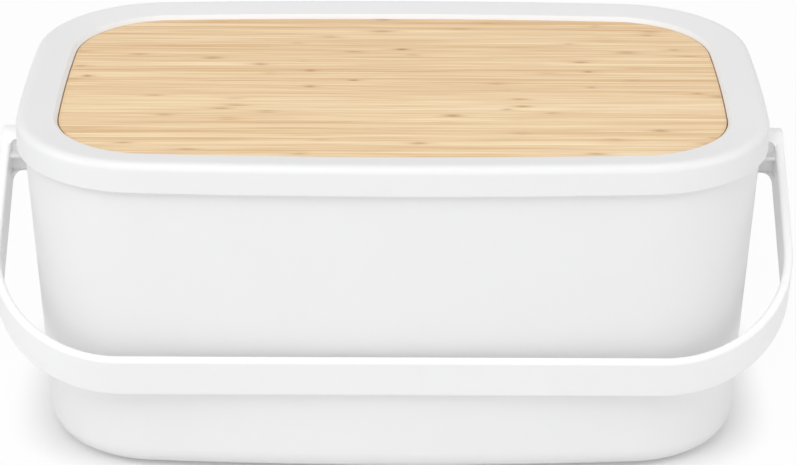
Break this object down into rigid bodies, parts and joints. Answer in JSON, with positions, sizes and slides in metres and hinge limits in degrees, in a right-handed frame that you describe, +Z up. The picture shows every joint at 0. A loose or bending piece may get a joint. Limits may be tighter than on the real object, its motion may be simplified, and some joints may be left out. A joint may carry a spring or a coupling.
{
  "type": "bread box",
  "caption": "White moulded bread box with a lift-off lid, a loose bamboo cutting board in the lid's tray, and a flat bail handle that swings on side pins.",
  "frame": {"origin": "on the table, at the middle of the foot ring under the tub", "axes": "+Z up, +X along the box's long side, -Y to the front, where the handle lies at rest"},
  "size_m": [0.4194, 0.2401, 0.179],
  "materials": {
    "white_plastic": "satin white moulding",
    "pin_plastic": "satin white moulding",
    "bamboo": "laminated bamboo, oiled",
    "soft_grey": "matt silicone"
  },
  "bodies": {
    "tub": {"tub_shell": "white_plastic", "foot_ring": "soft_grey", "pivot_pin_left": "pin_plastic", "pivot_pin_right": "pin_plastic"},
    "lid": {"lid_frame": "white_plastic", "lid_seal": "soft_grey", "board_pad_front_left": "soft_grey", "board_pad_front_right": "soft_grey", "board_pad_back_left": "soft_grey", "board_pad_back_right": "soft_grey"},
    "board": {"cutting_board": "bamboo"},
    "bail": {"handle": "white_plastic"}
  },
  "joints": [
    {"name": "handle_swing", "type": "hinge", "parent": "tub", "child": "bail", "pos_m": [0, 0, 0.1374], "axis": [-1, 0, 0], "range_deg": [0, 240]},
    {"name": "lid_lift", "type": "slide", "parent": "tub", "child": "lid", "axis": [0, 0, 1], "range_m": [0, 0.12]},
    {"name": "board_lift", "type": "slide", "parent": "lid", "child": "board", "axis": [0, 0, 1], "range_m": [0, 0.08]}
  ]
}
